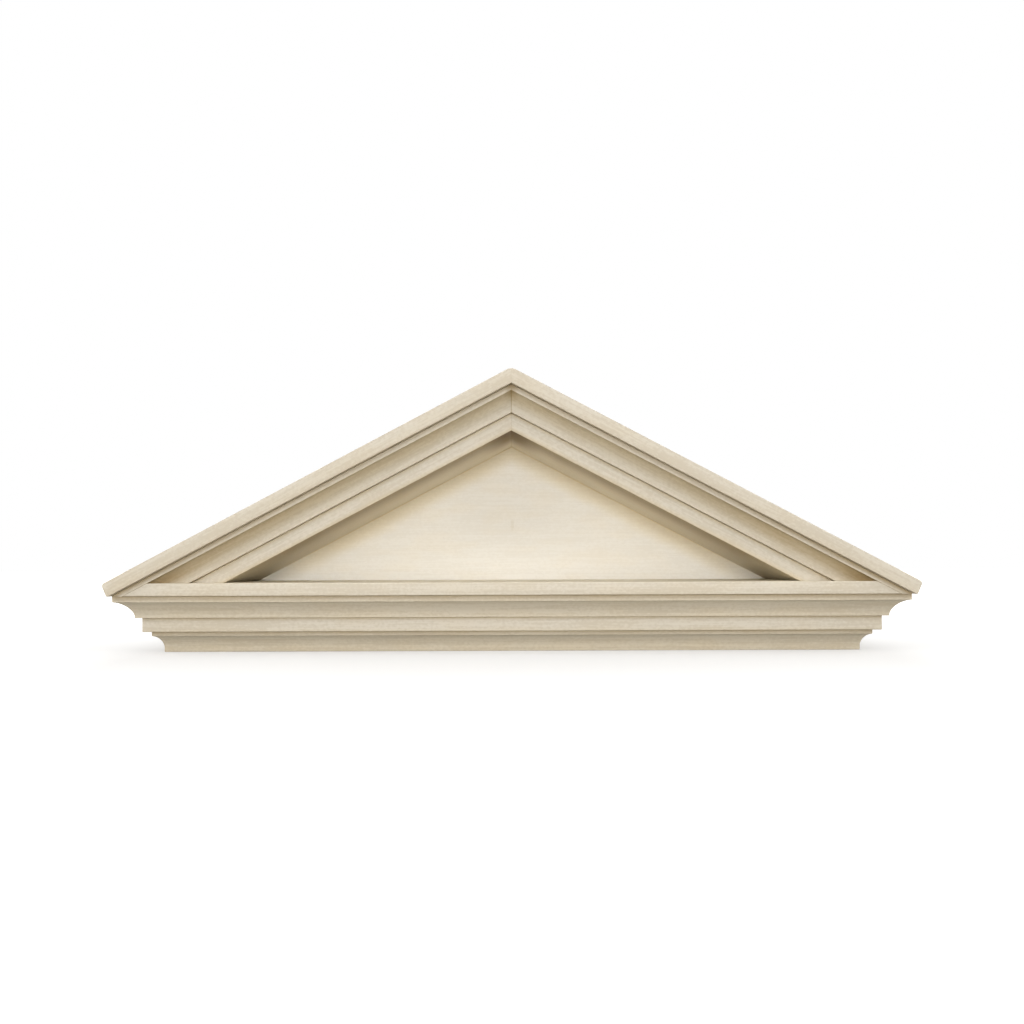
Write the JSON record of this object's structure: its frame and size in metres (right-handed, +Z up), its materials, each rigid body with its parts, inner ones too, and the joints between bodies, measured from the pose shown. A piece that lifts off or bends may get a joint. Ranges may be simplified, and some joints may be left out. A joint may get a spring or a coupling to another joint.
{
  "type": "classical pediment",
  "caption": "Triangular painted wooden pediment with raking and level cove cornices, mitred returns and a plain recessed tympanum, to fix over a door or window.",
  "frame": {"origin": "centre of the underside of the bounding box, midway across the width and the depth", "axes": "+X along the width to the right as seen from the front, +Y from the front into the wall, +Z up"},
  "size_m": [1.2222, 0.219, 0.4289],
  "materials": {
    "boards": "cream eggshell paint over softwood boards, faint grain and brush marks showing",
    "mouldings": "cream eggshell paint over run wooden mouldings, a warmer glaze settled in the hollows",
    "panel": "cream eggshell paint over a flat wooden panel, faint level grain"
  },
  "bodies": {
    "root": {"base_board": "boards", "corona_board": "boards", "cornice_cove_front": "mouldings", "cornice_cove_left": "mouldings", "cornice_cove_right": "mouldings", "bed_mould_front": "mouldings", "bed_mould_left": "mouldings", "bed_mould_right": "mouldings", "roof_board_left": "boards", "roof_board_right": "boards", "raking_cove_left": "mouldings", "raking_cove_right": "mouldings", "soffit_board_left": "boards", "soffit_board_right": "boards", "tympanum_panel": "panel"}
  },
  "joints": []
}
